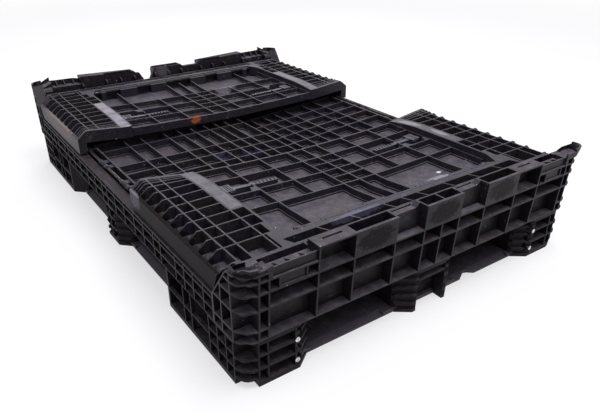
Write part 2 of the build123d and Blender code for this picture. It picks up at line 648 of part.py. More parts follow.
def nose_room(x):
    """A passage for the latch's nose, between two distances from the middle."""
    r = (END_REACH - NOSE_D[1] - NOSE_ROOM, END_REACH - NOSE_D[0] + NOSE_ROOM)
    return wall_block(x, r, (NOSE_H[0] - NOSE_ROOM, NOSE_H[1] + NOSE_ROOM))


near_wall = end_wall_body() - doorway() - (wall_pockets() + brace_pockets())
near_wall += rod(2 * END_ROOT_HALF, BARREL_R, (0, -END_AXIS_Y, END_AXIS_Z))
near_wall -= lug_notches()
near_wall += knuckles(WALL_KNUCKLES, DOOR_AXIS_R - 14, -10, DOOR_AXIS_H + 5)
near_wall -= [nose_room(x) for x in both_sides([(DOOR_HALF_WIDTH, 424.0)])]
near_wall -= rod(WIDTH, ROD_R + RUN_CLEAR, (0, -END_AXIS_Y, END_AXIS_Z))
near_wall -= rod(2 * 384, ROD_R + SEAT_CLEAR, DOOR_ROD_AT)
save(near_wall, "end_wall_near")
save(turned(near_wall), "end_wall_far")
near_door_rod = rod(2 * 382, ROD_R, DOOR_ROD_AT)
save(near_door_rod, "door_rod_near")
save(turned(near_door_rod), "door_rod_far")


# ---- drop door ----------------------------------------------------------------------
# Distances d below are measured down from the free edge.
LATCH_BAR = (198.0, 384.0)                # |X| of a latch bar
THUMB = (352.0, 386.0)
BAR_D = (142.0, 158.0)
LATCH_FLOOR_H = -32.0
DOOR_FOOT_R = DOOR_AXIS_R + 12
STEP_WIDE, STEP_HIGH = 3.5, 5.0           # step round the floor of a large pocket


def door_block(x, d, h):
    return wall_block(x, [END_REACH - v for v in d], h)


def stepped(x, y, floor, top):
    """A pocket whose floor is narrowed by a low step all round."""
    inner_x = (min(x) + STEP_WIDE, max(x) - STEP_WIDE)
    inner_y = (min(y) + STEP_WIDE, max(y) - STEP_WIDE)
    return [block(x, y, (floor + STEP_HIGH, top)), block(inner_x, inner_y, (floor, top))]


def door_cells():
    """(x0, x1, d0, d1) of every pocket in the right half of the door."""
    out = [(x, x1, 4, 95) for x, x1 in ((0, 61), (61, 169), (169, 292), (292, 401))]
    out += [(0, 61, 95 + i * 52.5, 147.5 + i * 52.5) for i in range(4)]
    out += [(61, 169, 95, 200), (61, 169, 200, 305)]
    out += [(169, 292, 200, 305), (292, 401, 208, 305)]
    return out


def door_foot_cells():
    """Pockets of the bottom row, open towards the hinge."""
    foot = END_REACH - DOOR_FOOT_R + 5
    return [(x, x1, 305, foot) for x, x1 in ((0, 61), (61, 292), (292, 401))]


def latch_room():
    """Recess round each latch bar, its arched thumb recess and its nose."""
    depth = (LATCH_FLOOR_H, DOOR_TOP_H + 1)
    cuts = []
    for side in (-1, 1):
        cuts.append(door_block((side * (169 + RIB / 2), side * (292 - RIB / 2)),
                               (95 + RIB / 2, 200 - RIB / 2), depth))
        cuts.append(door_block((side * 280, side * 300), (BAR_D[0] - 2, BAR_D[1] + 2), depth))
        cuts.append(door_block((side * (292 + RIB / 2), side * (401 - RIB / 2)), (97, 182), depth))
        arch = Pos(side * 350, wall_y(END_REACH - 182), wall_z(-20)) * Cylinder(38, 40)
        edge = wall_block((side * 312, side * 388), (END_REACH - 206, END_REACH - 181), depth)
        cuts.append(arch & edge)
        cuts.append(nose_room((side * 390, side * 405)))
    return cuts


def door():
    half, foot_r = DOOR_HALF_WIDTH, DOOR_FOOT_R
    corners = [(-half, foot_r + 45), (-half + 24, foot_r), (half - 24, foot_r),
               (half, foot_r + 45), (half, END_REACH), (-half, END_REACH)]
    plan = [(x, wall_y(r)) for x, r in corners]
    panel = prism(plan, wall_z(DOOR_LOW_H), wall_z(DOOR_TOP_H))
    floor, top = wall_z(DOOR_LOW_H + SKIN), wall_z(DOOR_TOP_H + 1)
    cuts = []
    for x0, x1, d0, d1 in door_cells() + door_foot_cells():
        y = [wall_y(END_REACH - d) for d in (d0 + RIB / 2, d1 - RIB / 2)]
        for x in both_sides([(x0 + RIB / 2, x1 - RIB / 2)]):
            cuts += stepped(x, y, floor, top)
    panel -= cuts + latch_room()
    panel += knuckles(DOOR_KNUCKLES, DOOR_AXIS_R + 18, DOOR_LOW_H + 4, DOOR_AXIS_H + 2)
    return panel - rod(2 * DOOR_HALF_WIDTH, ROD_R + RUN_CLEAR, DOOR_ROD_AT)


near_door = door()
save(near_door, "drop_door_near")
save(turned(near_door), "drop_door_far")


# ---- door latches -------------------------------------------------------------------
def latch():
    """Right-hand latch of the near door: slatted bar, thumb pull and nose."""
    low, high = LATCH_FLOOR_H + 0.4, DOOR_TOP_H - 6
    bar = door_block(LATCH_BAR, BAR_D, (low, high))
    bar += door_block(THUMB, (126, 174), (low, DOOR_TOP_H - 2))
    bar += door_block((384, DOOR_HALF_WIDTH + LATCH_TRAVEL - 2), NOSE_D, NOSE_H)
    slats = [door_block((x, x + 6), (BAR_D[0] - 1, BAR_D[1] - 3), (low + 7, DOOR_TOP_H))
             for x in range(204, 280, 13)]
    grip = [door_block((x, x + 2.5), (125, 175), (DOOR_TOP_H - 7, DOOR_TOP_H))
            for x in (359, 366, 373)]
    return bar - slats - grip


right_latch = latch()
left_latch = mirror(right_latch, about=Plane.YZ)
save(right_latch, "latch_near_right")
save(left_latch, "latch_near_left")
save(turned(right_latch), "latch_far_left")
save(turned(left_latch), "latch_far_right")


# ---- side walls ---------------------------------------------------------------------
# Built at the left, flat: s runs from the hinge line to the free edge.
SIDE_EDGE = 22.0                          # the panel starts here, past an open trough
SIDE_RIBS = (26.0, 128.0, 192.0, 283.0, 340.0, 394.0, 451.0, 498.0, 542.0, SIDE_REACH - 2)
SIDE_CROSS = (-748.0, -700.0, -630.0, -545.0, -460.0, -375.0, -290.0, -190.0, -112.0, -38.0,
              40.0, 200.0, 290.0, 375.0, 460.0, 545.0, 630.0, 700.0, 748.0)


def side_wall():
    half, low = SIDE_HALF_LENGTH, SIDE_TOP_H - SIDE_THICK
    panel = block((SIDE_EDGE, SIDE_REACH), (-half, half), (low, SIDE_TOP_H))
    cuts = []
    for s0, s1, y0, y1 in cells(SIDE_RIBS, SIDE_CROSS):
        cuts += stepped((s0, s1), (y0, y1), low + SKIN, SIDE_TOP_H + 1)
    # each lug has a knuckle on both sides of it, on arms across the trough
    arms = []
    for y in SIDE_LUGS:
        for way in (-1, 1):
            near, far = LUG_WIDTH / 2 + SIDE_GAP, LUG_WIDTH / 2 + SIDE_GAP + 24
            span = (y + way * near, y + way * far)
            middle = y + way * (near + far) / 2
            arms.append(block((0, SIDE_EDGE + 1), span, (-BARREL_R, 1)))
            arms.append(rod(far - near, BARREL_R, (0, middle, 0), "Y"))
    return panel - cuts + arms - rod(2 * half + 2, ROD_R + RUN_CLEAR, (0, 0, 0), "Y")


flat_side_wall = side_wall()
for name, tilt in SIDE_TILT.items():
    folded = Pos(-SIDE_AXIS_X, 0, SIDE_AXIS_Z) * Rot(0, -tilt, 0) * flat_side_wall
    save(folded if name == "left" else turned(folded), "side_wall_" + name)
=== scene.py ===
# %% [markdown]
# # A folding bulk container, stored flat
#
# The real container is moulded in black polyethylene. Its pallet base carries two side
# walls and two end walls that fold down inside the rim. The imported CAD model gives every
# rail, foot, wall and rod its place. This lesson gives them worn plastic and steel
# finishes, softened edges, and the sag that years of use put into the folded walls.
#
# Lengths are in metres unless a comment says millimetres. +X runs across the container to
# the right, +Y along it away from the near end, and +Z up.

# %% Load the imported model
import json
from math import cos, radians, sin

import bpy
import numpy as np
from mathutils import Matrix, Vector

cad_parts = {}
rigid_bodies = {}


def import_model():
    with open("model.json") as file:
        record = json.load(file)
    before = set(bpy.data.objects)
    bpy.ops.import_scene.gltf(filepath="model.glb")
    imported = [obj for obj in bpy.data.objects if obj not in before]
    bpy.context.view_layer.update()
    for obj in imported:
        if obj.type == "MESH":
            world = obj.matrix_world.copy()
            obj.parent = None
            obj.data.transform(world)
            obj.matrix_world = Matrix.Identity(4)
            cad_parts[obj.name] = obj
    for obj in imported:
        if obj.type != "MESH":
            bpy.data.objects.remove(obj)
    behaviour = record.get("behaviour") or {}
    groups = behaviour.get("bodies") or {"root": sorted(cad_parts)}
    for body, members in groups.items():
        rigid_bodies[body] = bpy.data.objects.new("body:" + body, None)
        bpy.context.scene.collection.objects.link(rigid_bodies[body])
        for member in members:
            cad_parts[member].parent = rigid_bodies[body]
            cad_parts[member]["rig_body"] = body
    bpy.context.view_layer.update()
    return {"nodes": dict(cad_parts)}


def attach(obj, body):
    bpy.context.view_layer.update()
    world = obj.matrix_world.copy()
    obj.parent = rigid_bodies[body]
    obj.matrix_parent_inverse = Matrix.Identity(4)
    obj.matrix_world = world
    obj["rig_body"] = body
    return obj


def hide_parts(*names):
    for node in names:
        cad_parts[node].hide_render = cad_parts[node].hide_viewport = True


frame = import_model()
bpy.ops.object.select_all(action="DESELECT")

# %% [markdown]
# ## The camera
#
# The camera stands off the near left corner, at about the height of a person's waist, and
# looks along and down at the container. A moderately wide lens makes the near corner large
# and the far end small. It could be aimed with a Track To constraint, but then it couldn't
# lean to one side, so its three axes are worked out from three angles. A small shift
# slides the view without turning the camera.

# %% The camera
AZIMUTH, ELEVATION, ROLL = radians(34.39), radians(28.67), radians(-0.33)
CAMERA_AT = Vector((-1.0683, -1.7445, 0.9909))
SENSOR_WIDTH, FOCAL_LENGTH = 36.0, 34.55            # mm
SHIFT_RIGHT, SHIFT_UP = 0.0155, 0.0240              # shares of the view's width

ahead = Vector((sin(AZIMUTH) * cos(ELEVATION), cos(AZIMUTH) * cos(ELEVATION), -sin(ELEVATION)))
level_right = ahead.cross(Vector((0, 0, 1))).normalized()
level_up = level_right.cross(ahead)
right = level_right * cos(ROLL) + level_up * sin(ROLL)
up = -level_right * sin(ROLL) + level_up * cos(ROLL)

camera_data = bpy.data.cameras.new("camera")
camera = bpy.data.objects.new("camera", camera_data)
bpy.context.scene.collection.objects.link(camera)
turn = Matrix((right, up, -ahead)).transposed().to_4x4()
camera.matrix_world = Matrix.Translation(CAMERA_AT) @ turn
camera_data.sensor_width = SENSOR_WIDTH
camera_data.lens = FOCAL_LENGTH
camera_data.shift_x, camera_data.shift_y = SHIFT_RIGHT, SHIFT_UP
camera_data.clip_start, camera_data.clip_end = 0.05, 60.0
bpy.context.scene.camera = camera
print("camera at", [round(v, 3) for v in CAMERA_AT])

# %% [markdown]
# ## Colours and shader nodes
#
# Paint makers and screens give a colour as an sRGB hex value, but a shader works in linear
# light, so one function turns the first into the second. A material in Blender is a tree
# of nodes. It can be drawn by hand in the Shader editor. Here one function adds a node,
# sets it up and links it, and a node that is passed on stands for its first output.

# %% Helpers for colours and shader nodes
FACTOR, FIRST, SECOND = 0, 6, 7                     # the inputs of a Mix node for colours


def linear(hex_colour):
    """An sRGB hex colour as the linear RGBA that a shader wants."""
    channels = [int(hex_colour[i:i + 2], 16) / 255 for i in (1, 3, 5)]
    return [c / 12.92 if c <= 0.04045 else ((c + 0.055) / 1.055) ** 2.4 for c in channels] + [1.0]


def add(tree, kind, links=None, **settings):
    """A new node with its settings. links maps an input to a value, to a socket, or to
    another node, which stands for the first of its outputs that is in use."""
    made = tree.nodes.new(kind)
    for key, value in settings.items():
        setattr(made, key, value)
    for place_in, value in (links or {}).items():
        if isinstance(value, bpy.types.Node):
            value = next(output for output in value.outputs if output.enabled)
        if isinstance(value, bpy.types.NodeSocket):
            tree.links.new(value, made.inputs[place_in])
        else:
            made.inputs[place_in].default_value = value
    return made


def empty_material(name):
    """A new material with nothing in its node tree."""
    material = bpy.data.materials.new(name)
    material.use_nodes = True
    material.node_tree.nodes.clear()
    return material


print("mid grey in linear light", round(linear("#808080")[0], 3))

# %% [markdown]
# ## The floor
#
# The container stands on a pale paper sweep, so that its dark outline is clear. A curved
# sweep could be modelled, but a plane does if it fades to white before its far edge. The
# Light Path node tells rays that show the floor from rays that only carry its light. The
# floor is pale to the first and darker to the second, so that it doesn't light the
# undersides of the ribs. Near the container it keeps the shadow.

# %% The floor
FLOOR_SIZE = 60.0
FADE_FROM, FADE_TO = 3.0, 7.0
PLAIN_WHITE = 0.6                                   # its share in the floor close by


def seen_directly(tree):
    """1 for rays from the camera, mirrors and glass, and 0 for the light that bounces."""
    path = add(tree, "ShaderNodeLightPath").outputs
    seen = add(tree, "ShaderNodeMath", {0: path["Is Camera Ray"], 1: path["Is Glossy Ray"]},
               operation="MAXIMUM")
    return add(tree, "ShaderNodeMath", {0: seen, 1: path["Is Transmission Ray"]},
               operation="MAXIMUM")


bpy.ops.mesh.primitive_plane_add(size=FLOOR_SIZE, location=(0, 0, 0))
floor = bpy.context.object
floor.name = "floor"
floor_paint = empty_material("pale_floor")
tree = floor_paint.node_tree
pale = add(tree, "ShaderNodeMix", {FACTOR: seen_directly(tree), FIRST: linear("#77757a"),
                                   SECOND: linear("#f4f3f4")}, data_type="RGBA")
paper = add(tree, "ShaderNodeBsdfPrincipled", {"Base Color": pale, "Roughness": 0.9})
white = add(tree, "ShaderNodeEmission", {"Color": linear("#ffffff"), "Strength": 1.0})
place = add(tree, "ShaderNodeTexCoord").outputs["Object"]
away = add(tree, "ShaderNodeVectorMath", {0: place}, operation="LENGTH")
share = add(tree, "ShaderNodeMapRange", {"Value": away, "From Min": FADE_FROM,
                                         "From Max": FADE_TO, "To Min": PLAIN_WHITE})
share = add(tree, "ShaderNodeMath", {0: seen_directly(tree), 1: share}, operation="MULTIPLY")
both = add(tree, "ShaderNodeMixShader", {0: share, 1: paper, 2: white})
add(tree, "ShaderNodeOutputMaterial", {"Surface": both})
floor.data.materials.append(floor_paint)
bpy.ops.object.select_all(action="DESELECT")
print(floor.name, "fades out from", FADE_FROM, "to", FADE_TO, "m")

# %% [markdown]
# ## The sky
#
# Black plastic shows mainly what it reflects and what falls on it from above. A sky of one
# brightness would light the deep pockets and the sides as much as the rims. Here it is
# bright overhead and dim at the horizon, which leaves the pockets dark. To the camera and
# in reflections it is plain white.

# %% The sky
HORIZON, ZENITH = 0.1, 0.9                          # Z of a direction, 1 straight up
DIM, BRIGHT = 0.05, 1.25

world = bpy.data.worlds.new("studio")
bpy.context.scene.world = world
world.use_nodes = True
tree = world.node_tree
tree.nodes.clear()
upward = add(tree, "ShaderNodeTexCoord").outputs["Generated"]
height = add(tree, "ShaderNodeSeparateXYZ", {0: upward}).outputs["Z"]
glow = add(tree, "ShaderNodeMapRange", {"Value": height, "From Min": HORIZON,
                                        "From Max": ZENITH, "To Min": DIM, "To Max": BRIGHT})
sky = add(tree, "ShaderNodeBackground", {"Color": linear("#e8e6f2"), "Strength": glow})
backdrop = add(tree, "ShaderNodeBackground", {"Color": linear("#ffffff"), "Strength": 1.0})
both = add(tree, "ShaderNodeMixShader", {0: seen_directly(tree), 1: sky, 2: backdrop})
add(tree, "ShaderNodeOutputWorld", {"Surface": both})
bpy.context.scene.view_settings.view_transform = "Standard"
print(world.name, "sky from", DIM, "to", BRIGHT)

# %% [markdown]
# ## Two soft lamps
#
# The sky alone would be flat. A large square lamp above the near end puts a soft shine on
# the rims, and a second one behind draws a line of light along the far edges. Area lamps
# are used because a wide lamp gives the soft shadow of a window or a softbox.

# %% The lamps
def soft_lamp(name, at, size, watts):
    """A square area lamp aimed at the middle of the container."""
    data = bpy.data.lights.new(name, "AREA")
    data.size, data.energy = size, watts
    lamp = bpy.data.objects.new(name, data)
    bpy.context.scene.collection.objects.link(lamp)
    lamp.location = at
    lamp.rotation_euler = (Vector((0, 0, 0.2)) - Vector(at)).to_track_quat("-Z", "Y").to_euler()
    print(name, "lamp,", watts, "W")


soft_lamp("overhead", (0.3, -1.3, 4.2), 2.2, 120)
soft_lamp("behind", (1.8, 3.2, 2.4), 2.6, 45)

# %% [markdown]
# ## Black polyethylene: swirls, blotches and grit
#
# The container is structural-foam high-density polyethylene with carbon black, moulded
# from regrind. So it is never one even black: swirls a hand wide drift from bluish to
# brownish, over a faint purple, and every face carries grit and old stains. A painted
# image would do this for one face, but it would have to be unwrapped over thousands. So
# three Noise textures are used, on the parts' own coordinates, each with a real size.

# %% The plastic as moulded and stained
SWIRL, BLOTCH, GRIT = 160, 25, 5                    # mm across
STAINED = 0.22                                      # how far the grit lightens the plastic


def per_metre(millimetres):
    """A texture scale that gives features of that real size, on coordinates in metres."""
    return 1000.0 / millimetres


def moulded_colour(tree, place, cool, warm, dust):
    """The plastic's colour, and the blotches that later wear and dust follow."""
    swirl = add(tree, "ShaderNodeTexNoise", {"Vector": place, "Scale": per_metre(SWIRL),
                                             "Detail": 3.0, "Distortion": 0.8})
    swirl = add(tree, "ShaderNodeMapRange", {"Value": swirl, "From Min": 0.35, "From Max": 0.65},
                interpolation_type="SMOOTHSTEP")
    colour = add(tree, "ShaderNodeMix", {FACTOR: swirl, FIRST: linear(cool),
                                         SECOND: linear(warm)}, data_type="RGBA")

    blotches = add(tree, "ShaderNodeTexNoise", {"Vector": place, "Scale": per_metre(BLOTCH),
                                                "Detail": 6.0, "Roughness": 0.65})
    blotches = add(tree, "ShaderNodeMapRange",
                   {"Value": blotches, "From Min": 0.38, "From Max": 0.66},
                   interpolation_type="SMOOTHSTEP")

    grit = add(tree, "ShaderNodeTexNoise", {"Vector": place, "Scale": per_metre(GRIT),
                                            "Detail": 4.0, "Roughness": 0.7})
    grit = add(tree, "ShaderNodeMapRange",
               {"Value": grit, "From Min": 0.45, "From Max": 0.72, "To Max": 1.0},
               interpolation_type="SMOOTHSTEP")
    grit = add(tree, "ShaderNodeMath", {0: grit, 1: STAINED}, operation="MULTIPLY")
    colour = add(tree, "ShaderNodeMix", {FACTOR: grit, FIRST: colour, SECOND: linear(dust)},
                 data_type="RGBA")
    return colour, blotches


print("texture scales:", per_metre(SWIRL), per_metre(BLOTCH), per_metre(GRIT))

# %% [markdown]
# ## Dust
#
# Pale dust settles on faces that look up, thickest in the pockets, where no hand or load
# wipes it off. The Geometry node gives each point's normal, and its Z says how far the
# face looks up. This needs no painting, and stays right when a part is changed.

# %% Dust on faces that look up
STEEP, LEVEL = 0.55, 0.95                           # normal's Z where dust starts and is full
PATCHY = 0.55                                       # share of it that follows the blotches
THINNED = 0.35                                      # share of it that is left on the ribs


def dusted(tree, place, colour, blotches, dust, most, low):
    """The colour with dust on it, how thick the dust is, and how far each face looks up.
    low holds the heights where dust is full and where it has thinned out."""
    normal = add(tree, "ShaderNodeNewGeometry").outputs["Normal"]
    facing = add(tree, "ShaderNodeSeparateXYZ", {0: normal}).outputs["Z"]
    upward = add(tree, "ShaderNodeMapRange",
                 {"Value": facing, "From Min": STEEP, "From Max": LEVEL})
    uneven = add(tree, "ShaderNodeMath", {0: blotches, 1: PATCHY, 2: 1 - PATCHY},
                 operation="MULTIPLY_ADD")
    thick = add(tree, "ShaderNodeMath", {0: upward, 1: uneven}, operation="MULTIPLY")
    if low:
        height = add(tree, "ShaderNodeSeparateXYZ", {0: place}).outputs["Z"]
        depth = add(tree, "ShaderNodeMapRange", {"Value": height, "From Min": low[0],
                                                 "From Max": low[1], "To Min": 1.0,
                                                 "To Max": THINNED})
        thick = add(tree, "ShaderNodeMath", {0: thick, 1: depth}, operation="MULTIPLY")
    thick = add(tree, "ShaderNodeMath", {0: thick, 1: most}, operation="MULTIPLY")
    colour = add(tree, "ShaderNodeMix", {FACTOR: thick, FIRST: colour, SECOND: linear(dust)},
                 data_type="RGBA")
    return colour, thick, upward


print("dust lies where the normal's Z is over", STEEP)

# %% [markdown]
# ## Scratches and chafing
#
# Loads and hands slide along a part, so its scratches run along it. A Noise texture is
# round, but on coordinates that are stretched far more one way than the other it becomes
# fine lines. Real scratches are a fraction of a millimetre wide, too fine to show at this
# distance, so they are drawn as coarse as they need to be seen. Beside them are paler
# chafed patches, and the smooth pad on each side of a door, where walls rub when folded.

# %% Scratches, chafed patches and pads
SCRATCH_WIDTH, SCRATCH_LENGTH = 2.6, 60             # mm
CHAFED_PATCH, PAD_CLOUD = 55, 40                    # mm across
PAD_X, PAD_HALF_X = 0.4275, (0.019, 0.017)          # its middle, and how far from there
                                                    # the haze ends and is full
PAD_Y, PAD_HALF_Y = 0.402, (0.160, 0.150)


def scratches(tree, place, along):
    """1 on fine lines along the axis that is marked in along, and 0 between them."""
    stretch = [per_metre(SCRATCH_LENGTH if way else SCRATCH_WIDTH) for way in along]
    drawn = add(tree, "ShaderNodeVectorMath", {0: place, 1: stretch}, operation="MULTIPLY")
    lines = add(tree, "ShaderNodeTexNoise", {"Vector": drawn, "Scale": 1.0, "Detail": 2.0})
    return add(tree, "ShaderNodeMapRange", {"Value": lines, "From Min": 0.58, "From Max": 0.72})


def chafing(tree, place, rubbed, chafed):
    """Adds pale patches to the rubbed places, more of them as chafed goes up to 1."""
    worn = add(tree, "ShaderNodeTexNoise", {"Vector": place, "Scale": per_metre(CHAFED_PATCH),
                                            "Detail": 8.0, "Roughness": 0.72})
    worn = add(tree, "ShaderNodeMapRange",
               {"Value": worn, "From Min": 0.64 - 0.1 * chafed, "From Max": 0.72},
               interpolation_type="SMOOTHSTEP")
    return add(tree, "ShaderNodeMath", {0: worn, 1: 0.55 * chafed, 2: rubbed},
               operation="MULTIPLY_ADD", use_clamp=True)


def pad_haze(tree, place, upward, left, right):
    """The cloudy haze on the pads, as strong as left on one side and right on the other."""
    axes = add(tree, "ShaderNodeSeparateXYZ", {0: place}).outputs
    haze = add(tree, "ShaderNodeMapRange", {"Value": axes["X"], "From Min": -0.2,
                                            "From Max": 0.2, "To Min": left, "To Max": right},
               interpolation_type="SMOOTHSTEP")
    for axis, middle, (out, full) in (("X", PAD_X, PAD_HALF_X), ("Y", PAD_Y, PAD_HALF_Y)):
        off = add(tree, "ShaderNodeMath", {0: axes[axis]}, operation="ABSOLUTE")
        off = add(tree, "ShaderNodeMath", {0: off, 1: middle}, operation="SUBTRACT")
        off = add(tree, "ShaderNodeMath", {0: off}, operation="ABSOLUTE")
        on = add(tree, "ShaderNodeMapRange", {"Value": off, "From Min": out, "From Max": full},
                 interpolation_type="SMOOTHSTEP")
        haze = add(tree, "ShaderNodeMath", {0: haze, 1: on}, operation="MULTIPLY")
    cloud = add(tree, "ShaderNodeTexNoise", {"Vector": place, "Scale": per_metre(PAD_CLOUD),
                                             "Detail": 9.0, "Roughness": 0.7})
    cloud = add(tree, "ShaderNodeMapRange", {"Value": cloud, "From Min": 0.30,
                                             "From Max": 0.62, "To Min": 0.35},
                interpolation_type="SMOOTHSTEP")
    haze = add(tree, "ShaderNodeMath", {0: haze, 1: cloud}, operation="MULTIPLY")
    return add(tree, "ShaderNodeMath", {0: haze, 1: upward}, operation="MULTIPLY")


print("scratches", SCRATCH_WIDTH, "mm wide, about", SCRATCH_LENGTH, "mm long")

# %% [markdown]
# ## Chips, stains, paint and painted light
#
# Small knocks leave white chips all over. A few single marks are known by their place: a
# spot of orange paint, a pale scrape, painted shade on a flange and a painted highlight
# along a hinge. Each could be a decal, but a blot round a point needs no extra geometry:
# the distance from the point, in units of the blot's half sizes, plus noise that makes its
# outline ragged. Every blot is matt, so stains, paint and painted light all take the
# plastic's shine away too.

# %% Chips and marks
CHIP, RAGGED = 7, 11                                # mm across
RAGGEDNESS = 2.4                                    # how much noise the distance gets
OUTSIDE, INSIDE = 2.30, 2.05                        # distance where a blot ends and is full


def chipped(tree, place, colour, strength):
    """The colour with small white chips, where a noise of their size peaks."""
    chips = add(tree, "ShaderNodeTexNoise", {"Vector": place, "Scale": per_metre(CHIP),
                                             "Detail": 1.0})
    chips = add(tree, "ShaderNodeMapRange", {"Value": chips, "From Min": 0.77,
                                             "From Max": 0.80, "To Max": strength},
                interpolation_type="SMOOTHSTEP")
    return add(tree, "ShaderNodeMix", {FACTOR: chips, FIRST: colour,
                                       SECOND: linear("#d8d5da")}, data_type="RGBA")


def marked(tree, place, colour, sheen, centre, reach, paint, strength):
    """The colour and the sheen with one ragged blot round centre, of half sizes reach."""
    off = add(tree, "ShaderNodeVectorMath", {0: place, 1: centre}, operation="SUBTRACT")
    off = add(tree, "ShaderNodeVectorMath", {0: off, 1: [1 / r for r in reach]},
              operation="MULTIPLY")
    far = add(tree, "ShaderNodeVectorMath", {0: off}, operation="LENGTH")
    ragged = add(tree, "ShaderNodeTexNoise", {"Vector": place, "Scale": per_metre(RAGGED),
                                              "Detail": 8.0, "Roughness": 0.8})
    edge = add(tree, "ShaderNodeMath", {0: ragged, 1: RAGGEDNESS, 2: far},
               operation="MULTIPLY_ADD")
    blot = add(tree, "ShaderNodeMapRange",
               {"Value": edge, "From Min": OUTSIDE, "From Max": INSIDE},
               interpolation_type="SMOOTHSTEP")
    blot = add(tree, "ShaderNodeMath", {0: blot, 1: strength}, operation="MULTIPLY")
    colour = add(tree, "ShaderNodeMix", {FACTOR: blot, FIRST: colour, SECOND: linear(paint)},
                 data_type="RGBA")
    bare = add(tree, "ShaderNodeMath", {0: 1.0, 1: blot}, operation="SUBTRACT")
    sheen = add(tree, "ShaderNodeMath", {0: bare, 1: sheen}, operation="MULTIPLY")
    return colour, sheen


print("chips", CHIP, "mm across")

# %% [markdown]
# ## The whole finish
#
# The layers go on in the order in which they came about: plastic, dust, rubbing, chips,
# marks. Polyethylene has an index of refraction of 1.51 and a dull shine, which a film of
# dust dulls further, so the shader's specular level is low. The mould leaves a faint
# orange-peel grain, about 2 mm across, which goes with the scratches into a Bump node,
# because relief of half a millimetre needs no geometry.

# %% The finish of a black polyethylene part
IOR_POLYETHYLENE = 1.51
ORANGE_PEEL, RELIEF = 2.2, 0.0006                   # mm across, and metres deep
DUSTY_AT, DUSTY_ROUGHNESS = 0.6, 0.85               # how thick dust makes it this rough
print("polyethylene reflects", round(((IOR_POLYETHYLENE - 1) / (IOR_POLYETHYLENE + 1)) ** 2, 3),
      "of the light that falls straight on it")


def black_polyethylene(name, cool, warm, dust, dust_most=0.55, low=None, rough=0.46,
                       along=(1, 0, 0), scuff="#8f8a92", scuffs=0.25, pads=None, chafed=0.0,
                       sheen=0.2, flecks=0.0, marks=()):
    """Worn black polyethylene. cool, warm, dust and scuff are its colours. dust_most and low
    say how thick the dust is and at what heights. scuffs is how strong the scratches are, and
    along the way they run. pads is how strongly the left and the right pad are chafed, chafed
    the share of pale patches, flecks how strong the chips are, and sheen the specular level.
    marks lists each blot's centre, half sizes, colour and strength."""
    material = empty_material(name)
    tree = material.node_tree
    place = add(tree, "ShaderNodeTexCoord").outputs["Object"]
    colour, blotches = moulded_colour(tree, place, cool, warm, dust)
    colour, thick, upward = dusted(tree, place, colour, blotches, dust, dust_most, low)

    lines = scratches(tree, place, along)
    rubbed = add(tree, "ShaderNodeMath", {0: lines, 1: blotches}, operation="MULTIPLY")
    rubbed = add(tree, "ShaderNodeMath", {0: rubbed, 1: scuffs}, operation="MULTIPLY")
    if chafed:
        rubbed = chafing(tree, place, rubbed, chafed)
    if pads:
        haze = pad_haze(tree, place, upward, *pads)
        rubbed = add(tree, "ShaderNodeMath", {0: rubbed, 1: haze}, operation="MAXIMUM")
    colour = add(tree, "ShaderNodeMix", {FACTOR: rubbed, FIRST: colour, SECOND: linear(scuff)},
                 data_type="RGBA")
    if flecks:
        colour = chipped(tree, place, colour, flecks)
    for mark in marks:
        colour, sheen = marked(tree, place, colour, sheen, *mark)

    roughness = add(tree, "ShaderNodeMapRange", {"Value": thick, "From Max": DUSTY_AT,
                                                 "To Min": rough, "To Max": DUSTY_ROUGHNESS})
    grain = add(tree, "ShaderNodeTexNoise", {"Vector": place, "Scale": per_metre(ORANGE_PEEL),
                                             "Detail": 3.0})
    relief = add(tree, "ShaderNodeMath", {0: lines, 1: -0.6, 2: grain},
                 operation="MULTIPLY_ADD")
    bump = add(tree, "ShaderNodeBump", {"Strength": 0.25, "Distance": RELIEF,
                                        "Height": relief})
    shader = add(tree, "ShaderNodeBsdfPrincipled",
                 {"Base Color": colour, "Roughness": roughness, "Normal": bump,
                  "IOR": IOR_POLYETHYLENE, "Specular IOR Level": sheen})
    add(tree, "ShaderNodeOutputMaterial", {"Surface": shader})
    print(name, len(tree.nodes), "nodes")
    return material


# %% [markdown]
# ## Base: rails, feet and deck
#
# The base takes the knocks and the road dirt, so it is the darkest plastic. The end rails
# are chafed by the walls that are lifted over them, their three smooth front plates are
# darkened with painted shade, the bowl in the near left corner is filled with painted
# shade, and the broken edge in the middle of the far rail shows pale fresh plastic. One
# function makes all the finishes, so that they stay the same plastic, and only their
# numbers differ.

# %% Plastics of the base
PLATE_PITCH = 0.232                                 # X between the near rail's front plates

# the first mark is painted shade in the bowl of the near left corner, the second the pale broken
# edge of the far rail
rail_marks = [((-0.572, -0.855, 0.326), (0.045, 0.040, 0.008), "#0c0a0e", 0.8),
              ((-0.025, 0.845, 0.322), (0.032, 0.040, 0.026), "#6f6b70", 0.6)]
# painted shade on the near rail's three front plates
for x in (-PLATE_PITCH, 0.0, PLATE_PITCH):
    rail_marks.append(((x, -0.888, 0.303), (0.058, 0.012, 0.030), "#120b0c", 0.65))
rail_plastic = black_polyethylene(
    "rail_polyethylene", "#131017", "#181314", "#625b63", along=(1, 0, 0), dust_most=0.75,
    chafed=0.5, scuffs=0.4, scuff="#6f6971", flecks=0.5, marks=rail_marks)
side_plastic = black_polyethylene(
    "side_rail_polyethylene", "#100d13", "#171112", "#4b4449", along=(0, 1, 0), dust_most=0.55,
    chafed=0.2, flecks=0.4, sheen=0.12)
foot_plastic = black_polyethylene(
    "foot_polyethylene", "#100d12", "#171213", "#4d464b", dust_most=0.65, rough=0.55,
    chafed=0.3, flecks=0.5, sheen=0.14)
deck_plastic = black_polyethylene("deck_polyethylene", "#131115", "#1a1616", "#4c4649",
                                  dust_most=0.6)

# %% [markdown]
# ## End walls and doors
#
# The folded end walls and their doors lie with their ribbed faces up, so they are paler
# than the base, with dust in every pocket and rubbed pads beside the doors. A wall and its
# door are one finish, because they were moulded and have aged together. Each end has its
# own marks.

